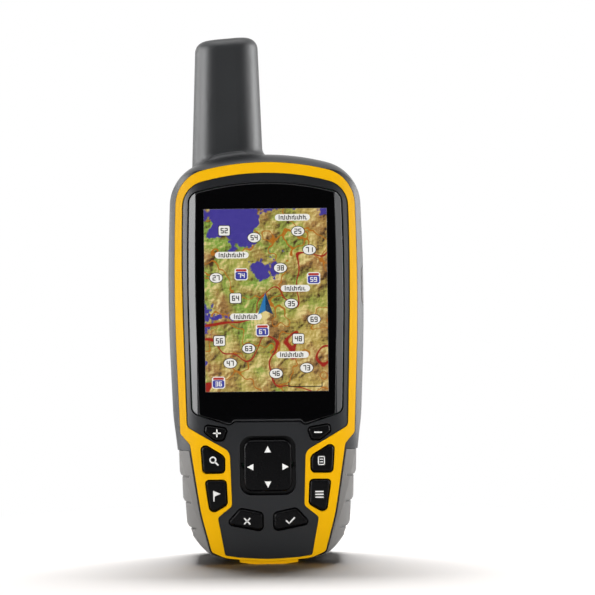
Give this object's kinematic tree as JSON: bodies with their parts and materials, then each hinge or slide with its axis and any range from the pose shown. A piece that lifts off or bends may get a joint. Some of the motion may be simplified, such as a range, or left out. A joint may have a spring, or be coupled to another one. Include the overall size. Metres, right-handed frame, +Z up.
{
  "type": "handheld gps unit",
  "caption": "Handheld satellite navigator: upright case with a display window, push keys and rocker below it, a stubby fixed antenna, side grips and a battery cover at the back.",
  "frame": {"origin": "middle of the unit's overall width and depth, at the underside of the foot", "axes": "+Z up along the case to the antenna, +Y from the face to the back, +X to the right of the face"},
  "size_m": [0.0594, 0.036, 0.1608],
  "materials": {
    "charcoal_plastic": "satin",
    "yellow_plastic": "satin",
    "grey_rubber": "matte",
    "black_rubber": "matte",
    "key_rubber": "satin",
    "window": "polished",
    "display_glass": "polished",
    "white_plastic": "matte",
    "board": "satin",
    "tinned_steel": "satin",
    "gold_brass": "polished",
    "copper": "satin",
    "cell_can": "satin",
    "ceramic_white": "matte"
  },
  "bodies": {
    "case": {"front_housing": "charcoal_plastic", "rear_housing": "charcoal_plastic", "bezel": "yellow_plastic", "bottom_foot": "yellow_plastic", "case_seal": "black_rubber", "side_grip_left": "grey_rubber", "side_grip_right": "grey_rubber", "lens_frame": "charcoal_plastic", "lens": "window", "lens_gasket": "black_rubber", "display_panel": "display_glass", "backlight": "white_plastic", "display_carrier": "charcoal_plastic", "display_connector": "charcoal_plastic", "keypad_mat": "black_rubber", "keypad_board": "board", "key_domes": "tinned_steel", "keypad_header": "charcoal_plastic", "keypad_spacers": "tinned_steel", "main_board": "board", "shield_cans": "tinned_steel", "beeper": "charcoal_plastic", "power_switch": "charcoal_plastic", "case_screws": "tinned_steel", "board_screws": "tinned_steel", "port_board": "board", "port_header": "charcoal_plastic", "usb_socket": "tinned_steel", "antenna_jack": "gold_brass", "mounting_spine": "charcoal_plastic", "cell_left": "cell_can", "cell_right": "cell_can", "cell_contacts": "tinned_steel", "cell_springs": "tinned_steel", "cover_gasket": "black_rubber", "antenna_holder": "charcoal_plastic", "antenna_amplifier": "board", "antenna_former": "ceramic_white", "antenna_strips": "copper"},
    "key_zoom_in": {"key_zoom_in": "key_rubber"},
    "key_zoom_out": {"key_zoom_out": "key_rubber"},
    "key_find": {"key_find": "key_rubber"},
    "key_page": {"key_page": "key_rubber"},
    "key_mark": {"key_mark": "key_rubber"},
    "key_menu": {"key_menu": "key_rubber"},
    "key_quit": {"key_quit": "key_rubber"},
    "key_enter": {"key_enter": "key_rubber"},
    "rocker_gimbal": {"rocker_gimbal": "tinned_steel"},
    "rocker_cap": {"rocker_cap": "key_rubber"},
    "power_key": {"power_key": "grey_rubber"},
    "battery_cover": {"battery_cover": "charcoal_plastic"},
    "latch_knob": {"latch_knob": "tinned_steel"},
    "carrying_ring": {"carrying_ring": "tinned_steel"},
    "usb_cap": {"usb_cap": "black_rubber"},
    "jack_cap": {"jack_cap": "black_rubber"}
  },
  "joints": [
    {"name": "key_zoom_in_press", "type": "slide", "parent": "case", "child": "key_zoom_in", "axis": [0, 1, 0], "range_m": [0, 0.0007], "stiffness_N_per_m": 1500},
    {"name": "key_zoom_out_press", "type": "slide", "parent": "case", "child": "key_zoom_out", "axis": [0, 1, 0], "range_m": [0, 0.0007], "stiffness_N_per_m": 1500},
    {"name": "key_find_press", "type": "slide", "parent": "case", "child": "key_find", "axis": [0, 1, 0], "range_m": [0, 0.0007], "stiffness_N_per_m": 1500},
    {"name": "key_page_press", "type": "slide", "parent": "case", "child": "key_page", "axis": [0, 1, 0], "range_m": [0, 0.0007], "stiffness_N_per_m": 1500},
    {"name": "key_mark_press", "type": "slide", "parent": "case", "child": "key_mark", "axis": [0, 1, 0], "range_m": [0, 0.0007], "stiffness_N_per_m": 1500},
    {"name": "key_menu_press", "type": "slide", "parent": "case", "child": "key_menu", "axis": [0, 1, 0], "range_m": [0, 0.0007], "stiffness_N_per_m": 1500},
    {"name": "key_quit_press", "type": "slide", "parent": "case", "child": "key_quit", "axis": [0, 1, 0], "range_m": [0, 0.0007], "stiffness_N_per_m": 1500},
    {"name": "key_enter_press", "type": "slide", "parent": "case", "child": "key_enter", "axis": [0, 1, 0], "range_m": [0, 0.0007], "stiffness_N_per_m": 1500},
    {"name": "power_key_press", "type": "slide", "parent": "case", "child": "power_key", "axis": [-1, 0, 0], "range_m": [0, 0.0004], "stiffness_N_per_m": 2000},
    {"name": "rocker_up_down", "type": "hinge", "parent": "case", "child": "rocker_gimbal", "pos_m": [0, -0.0148, 0.0296], "axis": [1, 0, 0], "range_deg": [-4, 4], "stiffness_Nm_per_rad": 0.17},
    {"name": "rocker_left_right", "type": "hinge", "parent": "rocker_gimbal", "child": "rocker_cap", "pos_m": [0, -0.0148, 0.0296], "axis": [0, 0, 1], "range_deg": [-4, 4], "stiffness_Nm_per_rad": 0.17},
    {"name": "battery_cover_open", "type": "hinge", "parent": "case", "child": "battery_cover", "pos_m": [0, 0.0153, 0.0746], "axis": [1, 0, 0], "range_deg": [0, 70]},
    {"name": "latch_turn", "type": "hinge", "parent": "battery_cover", "child": "latch_knob", "pos_m": [0, 0.0153, 0.014], "axis": [0, 1, 0], "range_deg": [0, 90]},
    {"name": "ring_fold", "type": "hinge", "parent": "latch_knob", "child": "carrying_ring", "pos_m": [0, 0.0171, 0.014], "axis": [1, 0, 0], "range_deg": [0, 170]},
    {"name": "usb_cap_open", "type": "hinge", "parent": "case", "child": "usb_cap", "pos_m": [-0.0192, 0.015, 0.092], "axis": [0, 0, 1], "range_deg": [0, 100]},
    {"name": "jack_cap_open", "type": "hinge", "parent": "case", "child": "jack_cap", "pos_m": [0.0192, 0.015, 0.092], "axis": [0, 0, -1], "range_deg": [0, 100]}
  ]
}
